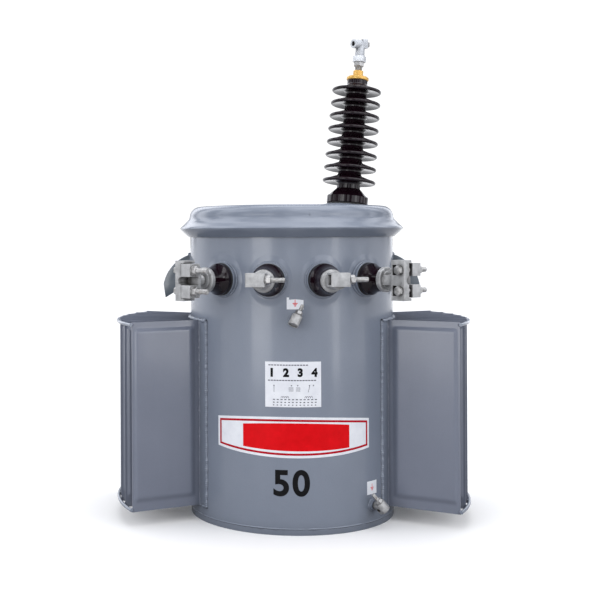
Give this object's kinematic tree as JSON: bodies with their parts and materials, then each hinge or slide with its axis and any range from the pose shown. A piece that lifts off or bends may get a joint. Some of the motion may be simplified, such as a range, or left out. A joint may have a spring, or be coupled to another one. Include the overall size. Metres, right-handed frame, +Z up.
{
  "type": "single-phase pole-type distribution transformer",
  "caption": "Round oil-filled distribution transformer with radial cooling fins, a tall shedded high-voltage bushing on the lid and clamp-type low-voltage bushings round the front",
  "frame": {"origin": "centre of the tank's flat underside", "axes": "+Z up, -Y the front with the low-voltage bushings, +X to the right seen from the front, the side nearer the high-voltage bushing"},
  "size_m": [0.9, 0.721, 1.233],
  "materials": {
    "tank_paint": "blue-grey gloss enamel on steel sheet",
    "porcelain": "dark brown-purple glaze",
    "gasket_rubber": "black sheet rubber",
    "cap_brass": "pale yellow brass, turned",
    "clamp_casting": "rough sand casting, dull grey",
    "terminal_casting": "bright tinned casting",
    "plated_steel": "zinc-plated bolts and nuts",
    "earth_fitting": "tinned fitting"
  },
  "bodies": {
    "root": {"clamp_band": "tank_paint", "clamp_band_bolt": "plated_steel", "earth_clamp_lower": "earth_fitting", "earth_clamp_upper": "earth_fitting", "earth_pad_lower": "tank_paint", "earth_pad_upper": "tank_paint", "hanger_lower": "tank_paint", "hanger_upper": "tank_paint", "hv_cap": "cap_brass", "hv_gasket": "gasket_rubber", "hv_pad": "tank_paint", "hv_porcelain": "porcelain", "hv_stud": "plated_steel", "hv_terminal": "terminal_casting", "hv_terminal_screw": "plated_steel", "lid": "tank_paint", "lid_gasket": "gasket_rubber", "lifting_lug_left": "tank_paint", "lifting_lug_right": "tank_paint", "lv_bolts_1": "plated_steel", "lv_bolts_2": "plated_steel", "lv_bolts_3": "plated_steel", "lv_bolts_4": "plated_steel", "lv_clamp_1": "clamp_casting", "lv_clamp_2": "clamp_casting", "lv_clamp_3": "clamp_casting", "lv_clamp_4": "clamp_casting", "lv_collar_1": "tank_paint", "lv_collar_2": "tank_paint", "lv_collar_3": "tank_paint", "lv_collar_4": "tank_paint", "lv_gaskets": "gasket_rubber", "lv_porcelain_1": "porcelain", "lv_porcelain_2": "porcelain", "lv_porcelain_3": "porcelain", "lv_porcelain_4": "porcelain", "radiator_left_fins": "tank_paint", "radiator_left_strip": "tank_paint", "radiator_left_ties": "tank_paint", "radiator_right_fins": "tank_paint", "radiator_right_strip": "tank_paint", "radiator_right_ties": "tank_paint", "tank_bottom": "tank_paint", "tank_lip": "tank_paint", "tank_shell": "tank_paint"}
  },
  "joints": []
}
